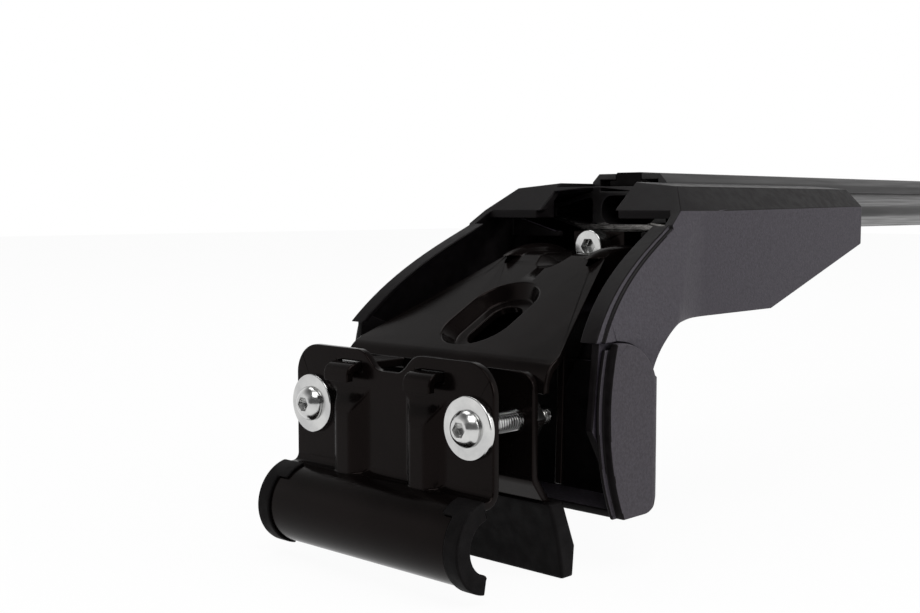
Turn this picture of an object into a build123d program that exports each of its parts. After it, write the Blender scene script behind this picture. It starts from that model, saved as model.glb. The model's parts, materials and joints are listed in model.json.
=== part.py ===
from build123d import *
import os
from math import cos, radians, sin, sqrt, tan

# Roof rack crossbar: one aluminium bar on two clamp feet, with the feet's end covers off.
# Sizes are in millimetres. A foot is drawn in its own frame: x runs inward along the bar from
# the front faces of the clamp washers, y across the bar, z up from the axis of the clamp screws.

# Overall
foot_span = 980.0  # between the washer faces of the two feet
screw_height = 46.4  # clamp screw axis above the surface that the pads stand on
sheet = 2.5  # thickness of every pressed steel piece

# Clamp screws, washers and nuts
screw_d = 6.0
screw_length = 35.0
screw_inset = 8.5  # clamp screw axis in from the jaw's side
head_d = 10.6
head_h = 3.3
head_flat_d = 5.6
head_rim = 0.7
socket_af = 4.0
socket_depth = 2.2
tip_chamfer = 0.8
washer_d = 18.0
washer_t = 1.6
washer_edge = 0.3
nut_af = 10.0
nut_h = 5.0
hole_clearance = 0.4  # all round a screw in a plain hole
thread_clearance = 0.05  # all round a screw in its nut

# Outer jaw
jaw_half = 41.5
ear_top = 18.2
ear_corner = 9.5
dip_top = 12.5
dip_half = 2.5
ear_inset = 19.5  # where an ear's top begins, in from the clamp screw
jaw_bend = 3.5
lip_radius = 12.3
lip_z = -31.0
lip_sweep = 158.0
rib_inset = 17.25  # a rib's middle in from the clamp screw
rib_base = 17.0
rib_crest = 4.0
rib_height = 4.0
rib_top = 7.4
rib_run_out = 9.0
slot_clearance = 0.3

# Rubber liner of the outer jaw
liner_t = 2.2
liner_collar = 4.4
liner_flap = 8.6
liner_flap_sweep = 34.0
liner_collar_t = 0.8
liner_end = 1.0
liner_bead_angle = 12.0
liner_top_angle = 100.0

# Inner jaw: plate with two hooked tongues
jaw_gap = 15.5  # between the two jaws as the clamp stands open
plate_inset = 1.5  # plate's side in from the outer jaw's side
plate_top = 14.2
plate_corner = 5.0
tongue_inset = 16.0  # a tongue's middle in from the clamp screw
tongue_w = 10.6
tongue_reach = 5.5  # past the front of the washers' seat
hook_drop = 5.4
tongue_bend = 2.4
shoulder_z = -16.5
shoulder_run = 6.4
shoulder_drop = 8.5
foot_lip_run = 4.1
foot_lip_drop = 17.5
foot_lip_bend = 4.0

# Rubber pad over the inner jaw's lip
pad_overhang = 1.25  # pad's end past the outer jaw's side
pad_front = 4.1  # from the plate's front to the pad's top front edge
pad_top_z = -23.4
pad_top_w = 6.4
pad_back_x = 12.0
pad_back_z = -37.3
pad_foot_w = 5.2
pad_lean = 6.0
pad_hollow = 0.9

# Pressed bracket that carries the bar
ramp_angle = 28.0
ramp_bend = 8.0
leg_half = 22.0
leg_bottom = -10.0
leg_full_z = 8.0
ramp_overhang = 0.6  # ramp's side past the outer jaw's side
ramp_wide_x = 29.0
ramp_neck = 21.0
ramp_neck_x = 77.0
tongue_top = 45.0
bracket_end = 138.0
flange_front_x = 33.0
flange_foot_x = 30.5
flange_foot_w = 4.2
flange_bottom = -19.0
flange_deep = 11.0
dish_x = 45.8
dish_length = 37.0
dish_width = 25.0
dish_depth = 4.6
dish_draft = 3.0
window_length = 22.0
window_width = 11.5
channel_d = 13.0
channel_x = 64.0
hump_y = 17.5
hump_x = 90.0
hump_length = 44.0
hump_radius = 5.8
hump_sink = 1.7

# Bar clamp screw and block
bar_screw_x = 95.0
bar_screw_z = 46.7
cap_d = 11.4
cap_h = 6.0
cap_af = 5.0
cap_socket = 3.0
block_half = 11.0
block_clearance = 0.2

# Bar
bar_end = 118.0
bar_top = 72.0
bar_bottom = 52.0
spine_half = 16.0
spine_chamfer = 3.0
spine_side = 66.0
wing_half = 37.0
wing_tip_z = 58.6
wing_tip = 1.9
keel_half = 20.0
bar_wall = 2.2
slot_half = 5.5
slot_chamber_half = 12.5
slot_chamber_h = 4.0
core_half = 11.8
core_height = 10.0
core_round = 4.6
wing_chamber_round = 1.2
strip_clearance = 0.2
strip_crown = 0.4

# Plastic foot housing
wall = 3.0
nose_x = 88.5
nose_z = 59.0
nose_lean = 50.0
chin_x = 82.0
chin_z = 54.5
vertex_half = 41.9
shoulder_half = 34.0
shoulder_top = 67.0
crown_half = 4.0
crown_z = 69.7
flare_half = 53.0
flare_z = 22.0
rim_low_x = 33.0
rim_mid_x = 53.5
rim_mid_z = 39.7
rim_high_x = 66.0
rim_high_z = 46.8
rim_step = 1.2
rim_band = 2.4
rim_flange = 4.0
back_arc_x = 79.0
back_arc_r = 22.0
belly_z = 25.0
belly_end = 146.0
tail_x = 214.0
tail_half = 40.5
tail_bottom = 46.0
waist_x = 104.0
waist_half = 42.0
flank_x = 62.0
bar_clearance = 0.25
bulkhead_x = 101.0
bulkhead_t = 2.5
bulkhead_half = 17.5
bulkhead_bottom = 50.0

# Lower skirt round the housing's foot
skirt_stand = 1.6  # skirt's side out past the housing's
skirt_wall = 2.5
skirt_front_x = 39.0
skirt_waist_x = 36.0
skirt_waist_z = -2.5
skirt_toe_x = 43.0
skirt_bottom = -29.5
skirt_back_z = 10.8
skirt_mid_x = 52.0
skirt_mid_z = 18.6
skirt_kick = 1.6  # the top of the back stands out past the rest
skirt_heel = 7.0
skirt_corner = 6.0
skirt_clearance = 0.3
lip_t = 1.1  # inner lip along the skirt's front edge
lip_reach = 2.0
lip_depth = 4.5
clip_t = 2.4
clip_reach = 3.4
clip_bottom = -13.0
clip_back_x = 54.0
tongue_drop = 8.0  # housing's back wall goes on down inside the skirt

# Worked out from the sizes above
screw_y = jaw_half - screw_inset
ear_inner = screw_y - ear_inset
rib_y = screw_y - rib_inset
tongue_y = screw_y - tongue_inset
skirt_half = flare_half + skirt_stand
plate_half = jaw_half - plate_inset
pad_half = jaw_half + pad_overhang
ramp_half = jaw_half + ramp_overhang
jaw_front = washer_t
jaw_back = jaw_front + sheet
plate_front = jaw_back + jaw_gap
plate_back = plate_front + sheet
jaw_mid = jaw_front + sheet / 2
plate_mid = plate_front + sheet / 2
lip_mid = lip_radius - sheet / 2
lip_x = jaw_mid - jaw_bend
lip_bend_z = lip_z + lip_mid + jaw_bend
tongue_mid_z = plate_top - sheet / 2
hook_mid_x = jaw_front - tongue_reach + sheet / 2
pad_bottom = -screw_height
leg_mid = plate_back + sheet / 2
tongue_mid_top = tongue_top - sheet / 2
ramp_slope = tan(radians(ramp_angle))
ramp_top_x = ramp_neck_x + sheet
ramp_low_z = tongue_mid_top - (ramp_top_x - leg_mid) * ramp_slope
screw_hole = screw_d + 2 * hole_clearance
cap_back_x = bar_screw_x + cap_h
bar_half = foot_span / 2 - bar_end
nose_rise = (bar_top - nose_z) * tan(radians(nose_lean))
skirt_back = back_arc_x - sqrt(back_arc_r**2 - (skirt_back_z - belly_z + back_arc_r) ** 2)
far = 400.0  # longer than any cut needs to reach


def face(*points):
    return make_face(Polyline(*points, close=True))


def both_sides(points):
    return points + [(-y, z) for y, z in reversed(points)]


def across(sketch, half):
    # A side view, drawn in x and z, made solid across the bar
    return extrude(Plane.XZ * sketch, half, both=True)


def along(sketch, start, end):
    # A front view, drawn in y and z, made solid along the bar
    return extrude(Plane.YZ.offset(start) * sketch, end - start)


def upright(sketch, low, high):
    # A top view, drawn in x and y, made solid upwards
    return extrude(Plane.XY.offset(low) * sketch, high - low)


def above(level):
    # All the space above a level
    return Pos(0, 0, level + far / 2) * Box(far, far, far)


def rod(diameter, start, end, y=0.0, z=0.0):
    return along(Pos(y, z) * Circle(diameter / 2), start, end)


def spindle(length, radius):
    # A long round swelling, thickest in the middle, lying along x
    bow = ThreePointArc((-length / 2, 0), (0, radius), (length / 2, 0))
    return revolve(make_face([bow, Line((length / 2, 0), (-length / 2, 0))]), Axis.X)


def hexagon(across_flats):
    return RegularPolygon(across_flats / 2, 6, major_radius=False)


def clamp_screw(side):
    r = screw_d / 2
    head = [
        Line((0, 0), (0, head_d / 2)),
        Line((0, head_d / 2), (-head_rim, head_d / 2)),
        RadiusArc((-head_rim, head_d / 2), (-head_h, head_flat_d / 2), -head_d / 2),
        Line((-head_h, head_flat_d / 2), (-head_h, 0)),
        Line((-head_h, 0), (0, 0)),
    ]
    body = revolve(make_face(head), Axis.X)
    end = screw_length
    shank = face((0, 0), (0, r), (end - tip_chamfer, r), (end, r - tip_chamfer), (end, 0))
    body += revolve(shank, Axis.X)
    body -= along(hexagon(socket_af), -head_h, socket_depth - head_h)
    return Pos(0, side * screw_y, 0) * body


def clamp_washer(side):
    ring = rod(washer_d, 0, washer_t)
    ring = chamfer(ring.edges().filter_by(GeomType.CIRCLE).group_by(Axis.X)[0], washer_edge)
    return Pos(0, side * screw_y, 0) * (ring - rod(screw_hole, 0, washer_t))


def clamp_nuts():
    nut = along(hexagon(nut_af), plate_back, plate_back + nut_h)
    nut -= rod(screw_d + 2 * thread_clearance, plate_back, plate_back + nut_h)
    return [Pos(0, side * screw_y, 0) * nut for side in (-1, 1)]


def ear_outline():
    rise = Spline((dip_half, dip_top), (ear_inner, ear_top), tangents=((1, 0), (1, 0)))
    corner = CenterArc((jaw_half - ear_corner, ear_top - ear_corner), ear_corner, 0, 90)
    half = [
        Line((0, dip_top), (dip_half, dip_top)),
        rise,
        Line((ear_inner, ear_top), (jaw_half - ear_corner, ear_top)),
        corner,
        Line((jaw_half, ear_top - ear_corner), (jaw_half, lip_z - lip_radius)),
        Line((jaw_half, lip_z - lip_radius), (0, lip_z - lip_radius)),
        Line((0, lip_z - lip_radius), (0, dip_top)),
    ]
    side = make_face(half)
    return side + mirror(side, about=Plane.YZ)


def rib_solid(depth):
    # One pressed rib, swelling smoothly out of the plate, set back by depth
    root = jaw_front + depth
    crest = root - rib_height
    rib_foot = lip_z + lip_mid
    level = ((0, 1), (0, 1))
    plan = make_face([
        Spline((root, -rib_base / 2), (crest, -rib_crest / 2), tangents=level),
        Line((crest, -rib_crest / 2), (crest, rib_crest / 2)),
        Spline((crest, rib_crest / 2), (root, rib_base / 2), tangents=level),
        Line((root, rib_base / 2), (root, -rib_base / 2)),
    ])
    fall = ((0, -1), (0, -1))
    side = make_face([
        Spline((root, rib_top), (crest, rib_top - rib_run_out), tangents=fall),
        Line((crest, rib_top - rib_run_out), (crest, rib_foot)),
        Line((crest, rib_foot), (root, rib_foot)),
        Line((root, rib_foot), (root, rib_top)),
    ])
    return upright(plan, rib_foot, rib_top) & across(side, rib_base)


def outer_jaw():
    path = [
        Line((jaw_mid, ear_top), (jaw_mid, lip_bend_z)),
        CenterArc((lip_x, lip_bend_z), jaw_bend, 0, -90),
        CenterArc((lip_x, lip_z), lip_mid, 90, lip_sweep),
    ]
    body = across(trace(path, sheet), jaw_half)
    body &= along(ear_outline(), -far, far)
    slot = Rectangle(tongue_w + 2 * slot_clearance, sheet + 2 * slot_clearance)
    for side in (-1, 1):
        body += Pos(0, side * rib_y, 0) * rib_solid(0)
        body -= Pos(0, side * rib_y, 0) * (rib_solid(sheet) & above(lip_bend_z))
        body -= along(Pos(side * tongue_y, tongue_mid_z) * slot, jaw_front - sheet, jaw_back + sheet)
        body -= rod(screw_hole, jaw_front - sheet, jaw_back + sheet, side * screw_y)
    return body


def ring_sector(inner, outer, start, sweep):
    arc_mid = CenterArc((lip_x, lip_z), (inner + outer) / 2, start, sweep)
    return trace([arc_mid], outer - inner)


def outer_jaw_liner(jaw):
    lip_inner = lip_radius - sheet
    bore = lip_inner - liner_t
    band = lip_radius + liner_collar_t
    sweep = 90 + lip_sweep - liner_top_angle
    end_half = jaw_half + liner_end
    body = across(ring_sector(bore, lip_inner, liner_top_angle, sweep), end_half)
    bead = ring_sector(bore, lip_radius, 90 + lip_sweep, liner_bead_angle)
    body += across(bead, end_half)
    collar = ring_sector(bore, band, liner_top_angle, sweep + liner_bead_angle)
    body += across(collar, end_half) - across(collar, jaw_half - liner_collar)
    flap = ring_sector(lip_inner, band, liner_top_angle, liner_flap_sweep)
    body += across(flap, end_half) - across(flap, jaw_half - liner_flap)
    return body - jaw


def inner_jaw():
    heel = (plate_mid + shoulder_run, shoulder_z - shoulder_drop)
    toe = (heel[0] + foot_lip_run, heel[1] - foot_lip_drop)
    path = FilletPolyline((plate_mid, plate_top), (plate_mid, shoulder_z), heel, toe, radius=foot_lip_bend)
    body = across(trace(path.edges(), sheet), plate_half)
    corners = body.edges().filter_by(Axis.X).group_by(Axis.Z)[-1]
    body = fillet(corners, plate_corner)
    hook = FilletPolyline(
        (plate_mid, leg_full_z), (plate_mid, tongue_mid_z),
        (hook_mid_x, tongue_mid_z), (hook_mid_x, plate_top - hook_drop), radius=tongue_bend
    )
    tongue = across(trace(hook.edges(), sheet), tongue_w / 2)
    for side in (-1, 1):
        body += Pos(0, side * tongue_y, 0) * tongue
        body -= rod(screw_hole, plate_front - sheet, plate_back + sheet, side * screw_y)
    return body


def inner_jaw_pad(jaw):
    top_x = plate_front + pad_front
    toe_x = top_x + pad_lean
    face_mid = ((top_x + toe_x) / 2 + pad_hollow, (pad_top_z + pad_bottom) / 2)
    section = [
        ThreePointArc((top_x, pad_top_z), face_mid, (toe_x, pad_bottom)),
        Line((toe_x, pad_bottom), (toe_x + pad_foot_w, pad_bottom)),
        Line((toe_x + pad_foot_w, pad_bottom), (top_x + pad_back_x, pad_back_z)),
        Line((top_x + pad_back_x, pad_back_z), (top_x + pad_top_w, pad_top_z)),
        Line((top_x + pad_top_w, pad_top_z), (top_x, pad_top_z)),
    ]
    return across(make_face(section), pad_half) - jaw


def bracket_plan(inset):
    points = [
        (plate_back, ramp_half - inset), (ramp_wide_x, ramp_half - inset),
        (ramp_neck_x, ramp_neck - inset), (bracket_end, ramp_neck - inset)
    ]
    return face(*points, *[(x, -y) for x, y in reversed(points)])


def ramp_plane(x):
    top = ramp_low_z + (x - leg_mid) * ramp_slope + sheet / 2 / cos(radians(ramp_angle))
    slope = radians(ramp_angle)
    return Plane((x, 0, top), x_dir=(cos(slope), 0, sin(slope)), z_dir=(-sin(slope), 0, cos(slope)))


def flange_profile():
    # Side view of a flange: a deep foot at the front, then a strip below the ramp
    def under_ramp(x):
        return ramp_low_z + (x - leg_mid) * ramp_slope - flange_deep

    foot_back = flange_foot_x + flange_foot_w
    return face(
        (flange_front_x, ramp_low_z + (flange_front_x - leg_mid) * ramp_slope),
        (flange_foot_x, flange_bottom), (foot_back, flange_bottom), (foot_back, under_ramp(foot_back)),
        (ramp_top_x, tongue_mid_top - flange_deep), (bracket_end, tongue_mid_top - flange_deep / 2),
        (bracket_end, tongue_mid_top), (ramp_top_x, tongue_mid_top)
    )


def mounting_bracket():
    path = FilletPolyline(
        (leg_mid, leg_bottom), (leg_mid, ramp_low_z), (ramp_top_x, tongue_mid_top),
        (bracket_end, tongue_mid_top), radius=ramp_bend
    )
    body = across(trace(path.edges(), sheet), far)
    body &= upright(bracket_plan(0), leg_bottom, far)
    leg_gap = Pos(leg_mid, 0, leg_full_z - far / 2) * Box(2 * sheet, far, far)
    body -= leg_gap - Pos(leg_mid, 0, 0) * Box(2 * sheet, 2 * leg_half, far)
    flanges = upright(bracket_plan(0) - bracket_plan(sheet), flange_bottom, far)
    body += flanges & across(flange_profile(), far)
    # Dished oval with a slot in its floor
    dish = ramp_plane(dish_x)
    rim = SlotOverall(dish_length, dish_width)
    floor = SlotOverall(dish_length - 2 * dish_draft, dish_width - 2 * dish_draft)
    under_rim = dish.offset(-sheet) * offset(rim, sheet / 2)
    under_floor = dish.offset(-dish_depth - sheet) * offset(floor, sheet / 2)
    body += loft([under_rim, under_floor])
    body -= loft([dish * rim, dish.offset(-dish_depth) * floor])
    body -= extrude(dish * SlotOverall(window_length, window_width), -dish_depth - 2 * sheet)
    # Channel for reaching the bar clamp screw
    trough = rod(channel_d + 2 * sheet, channel_x, bracket_end, 0, bar_screw_z)
    below_ramp = face(
        (0, ramp_low_z - leg_mid * ramp_slope), (ramp_top_x, tongue_mid_top),
        (far, tongue_mid_top), (far, -far), (0, -far)
    )
    body += trough & across(below_ramp, far)
    # Two humps that stiffen the bend, one on each side of the channel
    for side in (-1, 1):
        hump = Pos(hump_x, side * hump_y, tongue_mid_top - hump_sink)
        swelling = hump * spindle(hump_length, hump_radius) & above(tongue_mid_top)
        body += swelling & upright(bracket_plan(0), tongue_mid_top, far)
        body -= hump * spindle(hump_length - 2 * sheet, hump_radius - sheet)
    body -= rod(channel_d, channel_x - sheet, bracket_end, 0, bar_screw_z)
    return body


def bar_clamp_screw():
    r = screw_d / 2
    body = rod(cap_d, bar_screw_x, cap_back_x)
    body = chamfer(body.edges().filter_by(GeomType.CIRCLE).group_by(Axis.X)[0], washer_edge)
    body -= along(hexagon(cap_af), bar_screw_x, bar_screw_x + cap_socket)
    end = bracket_end - screw_d
    shank = face((cap_back_x, 0), (cap_back_x, r), (end - tip_chamfer, r), (end, r - tip_chamfer), (end, 0))
    body += revolve(shank, Axis.X)
    return Pos(0, 0, bar_screw_z) * body


def bar_clamp_block():
    head = face(*both_sides([(block_half, tongue_top), (block_half, bar_bottom)]))
    body = along(head, cap_back_x, bracket_end)
    body += rod(channel_d - 2 * block_clearance, cap_back_x, bracket_end, 0, bar_screw_z)
    body -= above(bar_bottom)
    return body - rod(screw_d + 2 * thread_clearance, cap_back_x, bracket_end, 0, bar_screw_z)


def bar_outline(clearance):
    half = [
        (spine_half, bar_top), (spine_half, spine_side), (wing_half, wing_tip_z + wing_tip),
        (wing_half, wing_tip_z - wing_tip), (keel_half, bar_bottom)
    ]
    outline = face(*both_sides(half))
    ranks = outline.vertices().group_by(Axis.X)
    outline = fillet(ranks[0] + ranks[-1], wing_tip)
    shoulders = outline.vertices().group_by(Axis.Y)[-1]
    outline = chamfer(shoulders, spine_chamfer)
    return offset(outline, clearance) if clearance else outline


def crossbar():
    section = bar_outline(0)
    slot_roof = bar_top - bar_wall
    slot_floor = slot_roof - slot_chamber_h
    core_mid = bar_bottom + bar_wall + core_height / 2
    section -= Pos(0, bar_top) * Rectangle(2 * slot_half, 2 * bar_wall)
    section -= Pos(0, (slot_roof + slot_floor) / 2) * Rectangle(2 * slot_chamber_half, slot_chamber_h)
    section -= Pos(0, core_mid) * RectangleRounded(2 * core_half, core_height, core_round)
    wing_end = wing_half - 2 * bar_wall
    wing = face(
        (spine_half, spine_side - bar_wall), (spine_half, bar_bottom + bar_wall),
        (keel_half, bar_bottom + bar_wall), (wing_end, wing_tip_z - wing_chamber_round),
        (wing_end, wing_tip_z + wing_chamber_round)
    )
    wing = fillet(wing.vertices(), wing_chamber_round)
    section -= wing + mirror(wing, about=Plane.YZ)
    return Pos(0, 0, screw_height) * along(section, -bar_half, bar_half)


def top_strip():
    slot_roof = bar_top - bar_wall
    neck = slot_half - strip_clearance
    wide = slot_chamber_half - 2 * bar_wall
    crown = bar_top + strip_crown
    base = slot_roof - bar_wall
    section = face(*both_sides([
        (neck, crown), (neck, slot_roof - strip_clearance),
        (wide, slot_roof - strip_clearance), (wide, base)
    ]))
    section = fillet(section.vertices().group_by(Axis.Y)[-1], strip_crown)
    return Pos(0, 0, screw_height) * along(section, -bar_half, bar_half)


def housing_front(inset):
    outline = face(*both_sides([
        (crown_half, crown_z), (shoulder_half, shoulder_top), (vertex_half, nose_z),
        (flare_half, flare_z), (flare_half, skirt_bottom)
    ]))
    return offset(outline, -inset, kind=Kind.INTERSECTION) if inset else outline


def housing_plan(inset):
    blend = Spline((flank_x, flare_half - inset), (waist_x, waist_half - inset), tangents=((1, 0), (1, 0)))
    half = [
        Line((0, 0), (0, flare_half - inset)),
        Line((0, flare_half - inset), (flank_x, flare_half - inset)),
        blend,
        Line((waist_x, waist_half - inset), (tail_x - inset, tail_half - inset)),
        Line((tail_x - inset, tail_half - inset), (tail_x - inset, 0)),
        Line((tail_x - inset, 0), (0, 0)),
    ]
    side = make_face(half)
    return side + mirror(side, about=Plane.XZ)


def rim_points(shift):
    return [
        (chin_x + shift, chin_z), (rim_high_x + shift, rim_high_z),
        (rim_mid_x + shift, rim_mid_z), (rim_low_x + shift, flare_z)
    ]


def housing_side(shift):
    # Side view: the rim runs down the front, the skirt's edge below, the belly at the back
    heel = (skirt_back, skirt_back_z)
    nose = (nose_x + shift, nose_z)
    nose_top = (nose_x + shift + nose_rise, bar_top)
    rim = rim_points(shift)
    edges = [
        Line(nose_top, nose),
        Line(nose, rim[0]),
        Spline(*rim),
        Line(rim[-1], (skirt_front_x, flare_z)),
        ThreePointArc((skirt_front_x, flare_z), (skirt_mid_x, skirt_mid_z), heel),
        RadiusArc(heel, (back_arc_x, belly_z), back_arc_r),
        Line((back_arc_x, belly_z), (belly_end, belly_z)),
        Line((belly_end, belly_z), (tail_x, tail_bottom)),
        Line((tail_x, tail_bottom), (tail_x, bar_top)),
        Line((tail_x, bar_top), nose_top),
    ]
    return make_face(edges)


def cavity_side():
    # The same belly and back, set in by the wall, and open at the front and below
    arc_z = belly_z - back_arc_r
    radius = back_arc_r + wall
    foot_x = back_arc_x - radius
    belly = belly_z + wall
    tail = tail_x - wall
    return make_face([
        Line((0, far), (0, arc_z)),
        Line((0, arc_z), (foot_x, arc_z)),
        RadiusArc((foot_x, arc_z), (back_arc_x, belly), radius),
        Line((back_arc_x, belly), (belly_end, belly)),
        Line((belly_end, belly), (tail, tail_bottom + wall)),
        Line((tail, tail_bottom + wall), (tail, far)),
        Line((tail, far), (0, far)),
    ])


def housing_block(inset):
    body = along(housing_front(inset), 0, far)
    body &= upright(housing_plan(inset), skirt_bottom, bar_top)
    return body


def foot_housing():
    outer = housing_block(0) & across(housing_side(0), far)
    body = outer - (housing_block(wall) & across(cavity_side(), far))
    # Rim stepped in from the outside, with a flange turned inward along it
    band = across(housing_side(0), far) - across(housing_side(rim_band), far)
    band &= Pos(chin_x / 2, 0, (chin_z + flare_z) / 2) * Box(chin_x, far, chin_z - flare_z)
    body -= band - housing_block(rim_step)
    body += (band & housing_block(rim_step)) - housing_block(wall + rim_flange)
    # Nose facets and bulkheads on both sides of the bar's end
    lean = bulkhead_t / cos(radians(nose_lean))
    nose_top = nose_x + nose_rise
    ledge = nose_z - bulkhead_t
    bulkhead_back = bulkhead_x + bulkhead_t
    nose = face(
        (nose_x, nose_z), (nose_top, bar_top), (nose_top + lean, bar_top), (bulkhead_back, ledge),
        (bulkhead_back, bulkhead_bottom), (bulkhead_x, bulkhead_bottom), (bulkhead_x, ledge), (nose_x, ledge)
    )
    body += (across(nose, far) & housing_block(0)) - Box(2 * far, 2 * bulkhead_half, far)
    facet = face((nose_x, nose_z), (nose_top, bar_top), (nose_top + lean, bar_top), (nose_x + lean, nose_z))
    body += (across(facet, far) & housing_block(0)) - Box(2 * far, 2 * spine_half, far)
    # Clip tongues that go down inside the skirt
    clip_out = skirt_half - skirt_wall - lip_t - skirt_clearance
    clip = face(
        (skirt_front_x - clip_reach, flare_z + wall), (skirt_waist_x - clip_reach, skirt_waist_z),
        (skirt_front_x, clip_bottom), (clip_back_x, clip_bottom), (clip_back_x, skirt_mid_z)
    )
    body += across(clip, clip_out) - across(clip, clip_out - clip_t)
    # Back wall going on down inside the skirt
    tongue_low = skirt_back_z - tongue_drop
    tongue = face(
        (skirt_back - wall, tongue_low), (skirt_back, tongue_low),
        (skirt_back, skirt_back_z + wall), (skirt_back - wall, skirt_back_z + wall)
    )
    body += across(tongue, clip_out - skirt_corner)
    # Room for the bar, its spine standing out of the top
    body -= along(bar_outline(bar_clearance), bulkhead_x - bulkhead_t, far)
    return body


def skirt_front(shift):
    # The front edge of the skirt, seen from the side
    brow = (skirt_front_x + shift, flare_z - skirt_clearance)
    waist = (skirt_waist_x + shift, skirt_waist_z)
    toe = (skirt_toe_x + shift, skirt_bottom)
    return Spline(brow, waist, toe)


def skirt_side():
    back = skirt_back + skirt_wall
    brow = (skirt_front_x, flare_z - skirt_clearance)
    seam = (skirt_mid_x, skirt_mid_z - skirt_clearance)
    nape = (skirt_back, skirt_back_z - skirt_clearance)
    edges = [
        skirt_front(0),
        Line((skirt_toe_x, skirt_bottom), (back, skirt_bottom)),
        ThreePointArc((back, skirt_bottom), (back, skirt_waist_z), (back + skirt_kick, nape[1])),
        Line((back + skirt_kick, nape[1]), nape),
        ThreePointArc(nape, seam, brow),
    ]
    outline = make_face(edges)
    heel = outline.vertices().sort_by_distance((back, skirt_bottom))[0]
    return fillet(heel, skirt_heel)


def foot_skirt():
    inside = skirt_back + skirt_clearance
    inside_half = skirt_half - skirt_wall
    outer = RectangleRounded(2 * (skirt_back + skirt_wall + skirt_kick), 2 * skirt_half, skirt_corner)
    inner = RectangleRounded(2 * inside, 2 * inside_half, skirt_corner - skirt_wall)
    body = across(skirt_side(), far) & upright(outer, skirt_bottom, far)
    body -= upright(inner, skirt_bottom + skirt_wall, far)
    # Thin inner lip that stands out in front of the skirt's edge
    front = skirt_front(-lip_reach)
    back = skirt_front(lip_depth - lip_reach)
    band = make_face([front, Line(front @ 1, back @ 1), back, Line(back @ 0, front @ 0)])
    lip = across(band, inside_half) - across(band, inside_half - lip_t)
    return body + (lip - above(flare_z - lip_reach))


def foot():
    # Every piece of one foot, in the foot's own frame
    jaw = outer_jaw()
    hooked = inner_jaw()
    return {
        "outer_jaw": jaw,
        "outer_jaw_liner": outer_jaw_liner(jaw),
        "inner_jaw": hooked,
        "inner_jaw_pad": inner_jaw_pad(hooked),
        "clamp_nuts": clamp_nuts(),
        "clamp_screw_front": clamp_screw(-1),
        "clamp_screw_rear": clamp_screw(1),
        "clamp_washer_front": clamp_washer(-1),
        "clamp_washer_rear": clamp_washer(1),
        "mounting_bracket": mounting_bracket(),
        "bar_clamp_screw": bar_clamp_screw(),
        "bar_clamp_block": bar_clamp_block(),
        "foot_housing": foot_housing(),
        "foot_skirt": foot_skirt(),
    }


def main():
    os.makedirs("parts", exist_ok=True)
    place = Pos(-foot_span / 2, 0, screw_height)
    for name, piece in foot().items():
        solids = piece if isinstance(piece, list) else piece.solids()
        left = Compound([place * solid for solid in solids])
        export_step(left, f"parts/left_{name}.step")
        export_step(mirror(left, about=Plane.YZ), f"parts/right_{name}.step")
    export_step(crossbar(), "parts/crossbar.step")
    export_step(top_strip(), "parts/top_strip.step")


main()
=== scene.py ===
import json
from math import radians

import bpy
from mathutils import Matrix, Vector

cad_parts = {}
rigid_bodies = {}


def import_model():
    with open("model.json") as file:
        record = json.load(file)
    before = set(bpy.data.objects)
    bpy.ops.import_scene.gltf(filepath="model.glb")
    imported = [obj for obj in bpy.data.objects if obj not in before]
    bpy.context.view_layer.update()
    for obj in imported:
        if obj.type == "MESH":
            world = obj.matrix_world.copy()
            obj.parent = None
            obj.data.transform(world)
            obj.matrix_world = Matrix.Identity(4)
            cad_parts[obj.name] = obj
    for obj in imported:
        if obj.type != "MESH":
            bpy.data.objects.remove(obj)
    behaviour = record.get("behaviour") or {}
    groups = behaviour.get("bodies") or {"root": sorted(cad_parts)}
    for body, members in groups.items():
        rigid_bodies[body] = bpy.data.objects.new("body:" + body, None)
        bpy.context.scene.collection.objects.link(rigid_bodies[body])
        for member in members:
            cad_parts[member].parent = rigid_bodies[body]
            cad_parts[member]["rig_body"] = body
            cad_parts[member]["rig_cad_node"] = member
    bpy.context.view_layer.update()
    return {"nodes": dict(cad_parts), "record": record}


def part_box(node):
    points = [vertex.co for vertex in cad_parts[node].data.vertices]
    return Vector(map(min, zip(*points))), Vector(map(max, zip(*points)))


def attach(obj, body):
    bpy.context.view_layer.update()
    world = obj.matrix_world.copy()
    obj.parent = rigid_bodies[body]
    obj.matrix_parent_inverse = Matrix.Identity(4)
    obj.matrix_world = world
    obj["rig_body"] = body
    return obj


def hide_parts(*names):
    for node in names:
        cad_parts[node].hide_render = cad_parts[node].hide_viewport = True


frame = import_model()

feet = ("left", "right")
inward = {"left": 1, "right": -1}  # the way along X from a foot to the bar's middle
mm = 0.001
# a CAD copy's joining distance, its angles in degrees, and a point's stray as a share of the rounding
cleanUp = {"join": 0.002 * mm, "flat": 0.4, "edge": 32, "smooth": 38, "stray": 0.4}
print("frame loaded with", len(frame["nodes"]), "nodes")


def pickOnly(obj):
    bpy.ops.object.select_all(action="DESELECT")
    obj.select_set(True)
    bpy.context.view_layer.objects.active = obj


def applyModifier(piece, modifier):
    pickOnly(piece)
    bpy.ops.object.modifier_apply(modifier=modifier.name)


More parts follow.
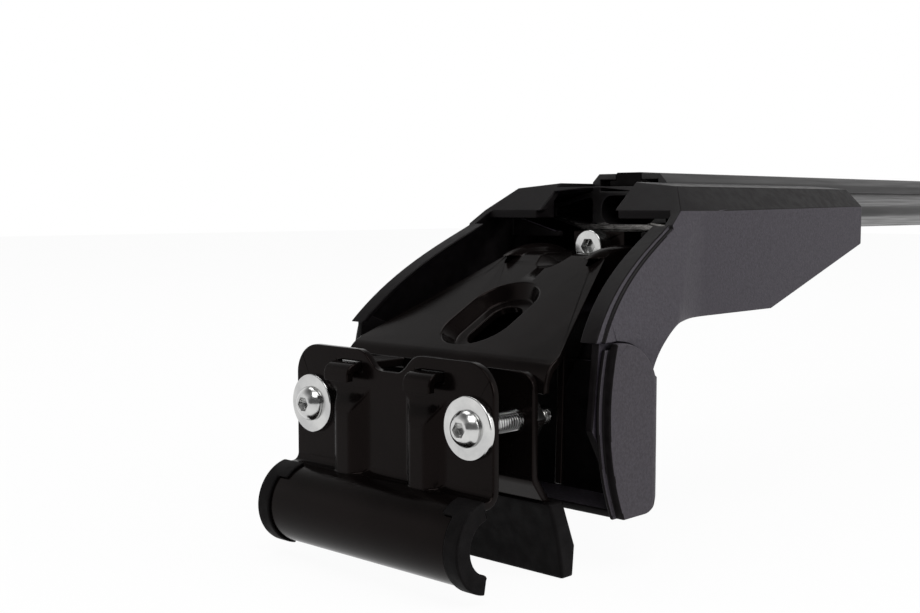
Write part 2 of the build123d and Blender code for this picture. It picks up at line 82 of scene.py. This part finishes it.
def mergedCopy(node, name):
    # the CAD mesh is loose triangles: the copy is joined up and its slivers are cut afresh
    pickOnly(frame["nodes"][node])
    bpy.ops.object.duplicate()
    bpy.ops.object.parent_clear(type="CLEAR_KEEP_TRANSFORM")
    piece = bpy.context.object
    piece.name = name
    del piece["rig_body"], piece["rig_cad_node"]
    bpy.ops.object.mode_set(mode="EDIT")
    bpy.ops.mesh.customdata_custom_splitnormals_clear()
    bpy.ops.mesh.select_all(action="SELECT")
    bpy.ops.mesh.remove_doubles(threshold=cleanUp["join"])
    bpy.ops.mesh.dissolve_limited(angle_limit=radians(cleanUp["flat"]))
    bpy.ops.mesh.quads_convert_to_tris(ngon_method="BEAUTY")
    bpy.ops.object.mode_set(mode="OBJECT")
    return piece


def roundEdges(piece, node, width, segments):
    bevel = piece.modifiers.new("edges", "BEVEL")
    bevel.width = width
    bevel.segments = segments
    bevel.limit_method = "ANGLE"
    bevel.angle_limit = radians(cleanUp["edge"])
    bevel.use_clamp_overlap = False
    applyModifier(piece, bevel)
    # a point the rounding threw off a crowded corner goes back onto the CAD surface
    for v in piece.data.vertices:
        _, spot, _, _ = frame["nodes"][node].closest_point_on_mesh(v.co)
        if (v.co - spot).length > cleanUp["stray"] * width:
            v.co = spot
    bpy.ops.object.shade_smooth_by_angle(angle=radians(cleanUp["smooth"]))
    faces = piece.modifiers.new("faces", "WEIGHTED_NORMAL")
    faces.keep_sharp = True
    applyModifier(piece, faces)


def dress(piece, node, *materials):
    # the piece takes the node's place and its body
    piece.data.materials.clear()
    for material in materials:
        piece.data.materials.append(material)
    body = next(b for b, members in frame["record"]["behaviour"]["bodies"].items() if node in members)
    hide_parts(node)
    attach(piece, body)


# Finishes, all on Object coordinates

def startFinish(name, metallic, gloss, glint):
    material = bpy.data.materials.new(name)
    material.use_nodes = True
    tree = material.node_tree
    shader = tree.nodes["Principled BSDF"]
    shader.inputs["Metallic"].default_value = metallic
    shader.inputs["Specular IOR Level"].default_value = gloss
    shader.inputs["Specular Tint"].default_value = (*glint, 1)
    coords = tree.nodes.new("ShaderNodeTexCoord")
    return material, tree, shader, coords.outputs["Object"]


def cloud(tree, coords, scale, detail, stretch):
    mapping = tree.nodes.new("ShaderNodeMapping")
    mapping.inputs["Scale"].default_value = stretch
    noise = tree.nodes.new("ShaderNodeTexNoise")
    noise.inputs["Scale"].default_value = scale
    noise.inputs["Detail"].default_value = detail
    tree.links.new(coords, mapping.inputs["Vector"])
    tree.links.new(mapping.outputs["Vector"], noise.inputs["Vector"])
    return noise.outputs["Fac"]


def colourBetween(tree, field, dark, light, socket):
    ramp = tree.nodes.new("ShaderNodeValToRGB")
    ramp.color_ramp.elements[0].position = 0.35
    ramp.color_ramp.elements[1].position = 0.65
    ramp.color_ramp.elements[0].color = (*dark, 1)
    ramp.color_ramp.elements[1].color = (*light, 1)
    tree.links.new(field, ramp.inputs["Fac"])
    tree.links.new(ramp.outputs["Color"], socket)


def valueBetween(tree, field, low, high, socket):
    spread = tree.nodes.new("ShaderNodeMapRange")
    spread.inputs["From Min"].default_value = 0.35
    spread.inputs["From Max"].default_value = 0.65
    spread.inputs["To Min"].default_value = low
    spread.inputs["To Max"].default_value = high
    tree.links.new(field, spread.inputs["Value"])
    tree.links.new(spread.outputs["Result"], socket)


def relief(tree, field, height, shader):
    bump = tree.nodes.new("ShaderNodeBump")
    bump.inputs["Strength"].default_value = 1.0
    bump.inputs["Distance"].default_value = height
    tree.links.new(field, bump.inputs["Height"])
    tree.links.new(bump.outputs["Normal"], shader.inputs["Normal"])


def makeFinish(name, look):
    metallic = look.get("metallic", 0.0)
    gloss = look.get("gloss", 0.5)
    glint = look.get("glint", (1, 1, 1))  # a warm black shows warm highlights
    material, tree, shader, coords = startFinish(name, metallic, gloss, glint)
    stretch = look.get("stretch", (1, 1, 1))
    tone = cloud(tree, coords, look["toneScale"], 3.0, stretch)
    colourBetween(tree, tone, look["dark"], look["light"], shader.inputs["Base Color"])
    sheen = cloud(tree, coords, look["sheenScale"], 2.0, stretch)
    valueBetween(tree, sheen, *look["rough"], shader.inputs["Roughness"])
    grain = cloud(tree, coords, look["grainScale"], 1.0, stretch)
    relief(tree, grain, look["grainHeight"], shader)
    return material


blackSteelLook = {
    "dark": (0.0018, 0.0013, 0.0012), "light": (0.0032, 0.0023, 0.0022), "toneScale": 45, "gloss": 0.07,
    "glint": (1, 0.8, 0.76), "rough": (0.15, 0.2), "sheenScale": 110,
    "grainScale": 700, "grainHeight": 0.01 * mm,
}
housingLook = {
    "dark": (0.0220, 0.0184, 0.0250), "light": (0.0325, 0.0278, 0.0372), "toneScale": 1500, "gloss": 0.27,
    "rough": (0.5, 0.6), "sheenScale": 1100, "grainScale": 2400, "grainHeight": 0.05 * mm,
}
# a darker, smoother plastic: a real finish over the bar, painted shade on the faces that turn inward or to
# the front
smoothAndShadedLook = {
    "dark": (0.0042, 0.0035, 0.0038), "light": (0.0065, 0.0054, 0.0059), "toneScale": 300, "gloss": 0.06,
    "rough": (0.36, 0.46), "sheenScale": 300, "grainScale": 1400, "grainHeight": 0.02 * mm,
}
skirtLook = {
    "dark": (0.0265, 0.0225, 0.0284), "light": (0.0385, 0.0332, 0.0415), "toneScale": 1400, "gloss": 0.27,
    "rough": (0.52, 0.62), "sheenScale": 1100, "grainScale": 2200, "grainHeight": 0.06 * mm,
}
rubberLook = {
    "dark": (0.0022, 0.0018, 0.0019), "light": (0.004, 0.0033, 0.0035), "toneScale": 260, "gloss": 0.06,
    "rough": (0.55, 0.68), "sheenScale": 240, "grainScale": 1300, "grainHeight": 0.02 * mm,
}
zincLook = {
    "dark": (0.50, 0.50, 0.50), "light": (0.64, 0.64, 0.63), "toneScale": 120, "metallic": 1.0,
    "rough": (0.15, 0.22), "sheenScale": 300, "grainScale": 900, "grainHeight": 0.003 * mm,
}
blackAlloyLook = {
    "dark": (0.0045, 0.004, 0.0042), "light": (0.008, 0.007, 0.0074), "toneScale": 60,
    "stretch": (0.06, 1, 1), "gloss": 0.3,
    "rough": (0.32, 0.44), "sheenScale": 500, "grainScale": 1500, "grainHeight": 0.01 * mm,
}
bareAlloyLook = {
    "dark": (0.13, 0.125, 0.12), "light": (0.3, 0.29, 0.28), "toneScale": 300,
    "metallic": 1.0, "stretch": (1, 1, 8),
    "rough": (0.25, 0.42), "sheenScale": 500, "grainScale": 1200, "grainHeight": 0.02 * mm,
}
blackSteel = makeFinish("blackSteel", blackSteelLook)
housingPlastic = makeFinish("housingPlastic", housingLook)
smoothAndShadedPlastic = makeFinish("smoothAndShadedPlastic", smoothAndShadedLook)
skirtPlastic = makeFinish("skirtPlastic", skirtLook)
rubber = makeFinish("rubber", rubberLook)
zinc = makeFinish("brightZinc", zincLook)
blackAlloy = makeFinish("blackAlloy", blackAlloyLook)
bareAlloy = makeFinish("bareAlloy", bareAlloyLook)
print("finishes made")


# Pressed, moulded and extruded pieces: the CAD shape with its edges rounded
edgeRounding = {
    "outer_jaw": (0.5 * mm, 3, blackSteel),
    "outer_jaw_liner": (0.6 * mm, 3, rubber),
    "inner_jaw": (0.45 * mm, 3, blackSteel),
    "inner_jaw_pad": (1.0 * mm, 3, rubber),
    "clamp_nuts": (0.3 * mm, 2, zinc),
    "clamp_washer_front": (0.12 * mm, 2, zinc),
    "clamp_washer_rear": (0.12 * mm, 2, zinc),
    "mounting_bracket": (0.5 * mm, 3, blackSteel),
    "bar_clamp_screw": (0.2 * mm, 2, zinc),
    "bar_clamp_block": (0.4 * mm, 2, blackSteel),
    "foot_housing": (0.5 * mm, 3, housingPlastic, smoothAndShadedPlastic),
    "foot_skirt": (0.5 * mm, 3, skirtPlastic, smoothAndShadedPlastic),
}
# where the dark plastic goes: over the bar as a real finish, on inward- and front-facing faces as painted
# shade
smoothAndShadedFaces = {"creaseAboveBar": 7.2 * mm, "facingUp": 0.4, "facingIn": 0.35, "facingOut": 0.25}
for foot in feet:
    for part, (width, segments, *finish) in edgeRounding.items():
        piece = mergedCopy(f"{foot}_{part}", f"{foot}_{part}_shape")
        roundEdges(piece, f"{foot}_{part}", width, segments)
        dress(piece, f"{foot}_{part}", *finish)
        if len(finish) > 1:
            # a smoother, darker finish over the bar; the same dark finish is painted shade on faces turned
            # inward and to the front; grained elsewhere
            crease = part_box("crossbar")[0].z + smoothAndShadedFaces["creaseAboveBar"]
            for face in piece.data.polygons:
                over = face.center.z > crease and face.normal.z > smoothAndShadedFaces["facingUp"]
                inside = face.normal.y * face.center.y < 0 and abs(face.normal.y) > smoothAndShadedFaces["facingIn"]
                front = face.normal.x * inward[foot] < -smoothAndShadedFaces["facingOut"]
                face.material_index = 1 if over or inside or front else 0
print("foot pieces rounded")


# Clamp screws: a cut thread on the shank
clampScrew = {
    "pitch": 1.0 * mm, "crest": 3.0 * mm, "root": 2.42 * mm, "plain": 3.0 * mm, "tip": 1.0 * mm,
    "neck": 0.75 * mm, "rounding": 0.18 * mm, "stepsPerTurn": 20, "smooth": 30,
}
for foot in feet:
    for end in ("front", "rear"):
        node = f"{foot}_clamp_screw_{end}"
        low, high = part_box(node)
        axis = (low + high) / 2
        screw = mergedCopy(node, f"{node}_shape")
        roundEdges(screw, node, clampScrew["rounding"], 2)
        seat = frame["record"]["behaviour"]["joints"][0]["pos_m"][0] * inward[foot]
        bpy.ops.object.mode_set(mode="EDIT")
        bpy.ops.mesh.select_all(action="DESELECT")
        bpy.ops.object.mode_set(mode="OBJECT")
        for v in screw.data.vertices:
            v.select = (v.co.x - seat) * inward[foot] > clampScrew["neck"]
        bpy.ops.object.mode_set(mode="EDIT")
        thin = clampScrew["root"] / clampScrew["crest"]
        bpy.ops.transform.resize(value=(1, thin, thin), center_override=axis)
        bpy.ops.object.mode_set(mode="OBJECT")
        # a small three-cornered bead, wound along the shank
        start = seat + inward[foot] * clampScrew["plain"]
        stop = (high.x if foot == "left" else low.x) - inward[foot] * clampScrew["tip"]
        depth = clampScrew["crest"] - clampScrew["root"]
        bpy.ops.object.select_all(action="DESELECT")
        bpy.ops.mesh.primitive_circle_add(vertices=3, radius=depth)
        bead = bpy.context.object
        bead.name = f"{node}_thread"
        bpy.ops.object.mode_set(mode="EDIT")
        bpy.ops.transform.translate(value=(0, clampScrew["root"], 0))
        bpy.ops.object.mode_set(mode="OBJECT")
        bead.location = (min(start, stop), axis.y, axis.z)
        wind = bead.modifiers.new("wind", "SCREW")
        wind.axis = "X"
        wind.screw_offset = clampScrew["pitch"]
        wind.iterations = int(abs(stop - start) / clampScrew["pitch"])
        wind.steps = wind.render_steps = clampScrew["stepsPerTurn"]
        wind.use_merge_vertices = True
        wind.merge_threshold = cleanUp["join"]
        applyModifier(bead, wind)
        bpy.ops.object.transform_apply(location=True, rotation=True, scale=True)
        bpy.ops.object.mode_set(mode="EDIT")
        bpy.ops.mesh.select_all(action="SELECT")
        bpy.ops.mesh.normals_make_consistent(inside=False)
        bpy.ops.object.mode_set(mode="OBJECT")
        bpy.ops.object.shade_smooth_by_angle(angle=radians(clampScrew["smooth"]))
        dress(screw, node, zinc)
        bead.data.materials.append(zinc)
        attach(bead, f"{foot}_screw_{end}")
print("screws threaded")


# Bar and its rubber strip; the sawn lower wall is bare
barEnd = {"bareWall": 2.4 * mm, "facingEnd": 0.9, "rounding": 0.35 * mm, "stripRounding": 0.3 * mm}
bar = mergedCopy("crossbar", "crossbar_shape")
roundEdges(bar, "crossbar", barEnd["rounding"], 2)
dress(bar, "crossbar", blackAlloy, bareAlloy)
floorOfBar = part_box("crossbar")[0].z + barEnd["bareWall"]
for face in bar.data.polygons:
    sawn = abs(face.normal.x) > barEnd["facingEnd"]
    face.material_index = 1 if sawn and face.center.z < floorOfBar else 0
strip = mergedCopy("top_strip", "top_strip_shape")
roundEdges(strip, "top_strip", barEnd["stripRounding"], 2)
dress(strip, "top_strip", rubber)
print("bar dressed")


# Studio: pale floor, white surround, soft boxes and the camera at the photograph's angle
studio = {
    "floorSize": 8.0, "floorDrop": 0.2 * mm, "floorTone": 0.82, "floorRough": 0.9, "floorGlow": 0.95,
    "surround": 0.42,
    "ceiling": (0.35, 0.9, 0.1), "roomSide": (-0.72, -0.69, 0), "room": (0.35, 0.85, 0.12),
    "boxes": {
        "keyBox": ((-0.95, -0.6, 1.35), 0.9, 10), "sideBox": ((0.3, -1.7, 0.9), 1.0, 18),
        "topBox": ((-0.2, 0.6, 1.8), 1.0, 9),
    },
    "aim": (-0.42, 0.0, 0.07), "eye": (-0.7404, -0.26985, 0.1070), "heading": 43.7, "dip": 4.5,
    "lens": 50, "sensor": 36, "nearClip": 0.01,
}


def seenWhite(tree):
    # 1 for camera, glossy and transmission rays
    rays = tree.nodes.new("ShaderNodeLightPath")
    both = tree.nodes.new("ShaderNodeMath")
    both.operation = "MAXIMUM"
    every = tree.nodes.new("ShaderNodeMath")
    every.operation = "MAXIMUM"
    tree.links.new(rays.outputs["Is Camera Ray"], both.inputs[0])
    tree.links.new(rays.outputs["Is Glossy Ray"], both.inputs[1])
    tree.links.new(both.outputs[0], every.inputs[0])
    tree.links.new(rays.outputs["Is Transmission Ray"], every.inputs[1])
    return every.outputs[0]


bpy.ops.object.select_all(action="DESELECT")
bpy.ops.mesh.primitive_plane_add(size=studio["floorSize"], location=(0, 0, -studio["floorDrop"]))
floor = bpy.context.object
floor.name = "floor"
paleFloor = bpy.data.materials.new("paleFloor")
paleFloor.use_nodes = True
floorTree = paleFloor.node_tree
floorShader = floorTree.nodes["Principled BSDF"]
floorShader.inputs["Base Color"].default_value = (*[studio["floorTone"]] * 3, 1)
floorShader.inputs["Roughness"].default_value = studio["floorRough"]
glow = floorTree.nodes.new("ShaderNodeEmission")
mixer = floorTree.nodes.new("ShaderNodeMixShader")
share = floorTree.nodes.new("ShaderNodeMath")
share.operation = "MULTIPLY"
share.inputs[1].default_value = studio["floorGlow"]
floorTree.links.new(seenWhite(floorTree), share.inputs[0])
floorTree.links.new(share.outputs[0], mixer.inputs[0])
floorTree.links.new(floorShader.outputs[0], mixer.inputs[1])
floorTree.links.new(glow.outputs[0], mixer.inputs[2])
floorTree.links.new(mixer.outputs[0], floorTree.nodes["Material Output"].inputs["Surface"])
floor.data.materials.append(paleFloor)

world = bpy.data.worlds.new("surround")
bpy.context.scene.world = world
world.use_nodes = True
worldTree = world.node_tree


def fadeAcross(tree, field, fade):
    # 1 up to the first value of the field, falling to the third from the second on
    band = tree.nodes.new("ShaderNodeMapRange")
    band.interpolation_type = "SMOOTHSTEP"
    band.inputs["From Min"].default_value = fade[0]
    band.inputs["From Max"].default_value = fade[1]
    band.inputs["To Min"].default_value = 1.0
    band.inputs["To Max"].default_value = fade[2]
    tree.links.new(field, band.inputs["Value"])
    return band.outputs["Result"]


# a white wall all round, with a dim ceiling and a dim room behind the camera for what mirrors them
compass = worldTree.nodes.new("ShaderNodeTexCoord")
height = worldTree.nodes.new("ShaderNodeSeparateXYZ")
towardsRoom = worldTree.nodes.new("ShaderNodeVectorMath")
towardsRoom.operation = "DOT_PRODUCT"
towardsRoom.inputs[1].default_value = studio["roomSide"]
worldTree.links.new(compass.outputs["Generated"], height.inputs["Vector"])
worldTree.links.new(compass.outputs["Generated"], towardsRoom.inputs[0])
mirrored = worldTree.nodes.new("ShaderNodeMath")
mirrored.operation = "MULTIPLY"
worldTree.links.new(fadeAcross(worldTree, height.outputs["Z"], studio["ceiling"]), mirrored.inputs[0])
worldTree.links.new(fadeAcross(worldTree, towardsRoom.outputs["Value"], studio["room"]), mirrored.inputs[1])
shown = worldTree.nodes.new("ShaderNodeMapRange")
shown.inputs["To Min"].default_value = studio["surround"]
worldTree.links.new(seenWhite(worldTree), shown.inputs["Value"])
direct = worldTree.nodes.new("ShaderNodeMath")
direct.operation = "MAXIMUM"
worldRays = worldTree.nodes.new("ShaderNodeLightPath")
worldTree.links.new(worldRays.outputs["Is Camera Ray"], direct.inputs[0])
worldTree.links.new(mirrored.outputs[0], direct.inputs[1])
worldTree.links.new(direct.outputs[0], shown.inputs["To Max"])
worldTree.nodes["Background"].inputs["Color"].default_value = (1, 1, 1, 1)
worldTree.links.new(shown.outputs["Result"], worldTree.nodes["Background"].inputs["Strength"])

aim = Vector(studio["aim"])
for name, (place, size, power) in studio["boxes"].items():
    bpy.ops.object.light_add(type="AREA", location=place)
    lamp = bpy.context.object
    lamp.name = name
    lamp.data.size = size
    lamp.data.energy = power
    lamp.rotation_euler = (aim - Vector(place)).to_track_quat("-Z", "Y").to_euler()

bpy.ops.object.camera_add(
    location=studio["eye"], rotation=(radians(90 - studio["dip"]), 0, radians(studio["heading"] - 90)))
camera = bpy.context.object
camera.data.lens = studio["lens"]
camera.data.sensor_width = studio["sensor"]
camera.data.clip_start = studio["nearClip"]
bpy.context.scene.camera = camera
bpy.context.scene.view_settings.view_transform = "Standard"
print("studio set")
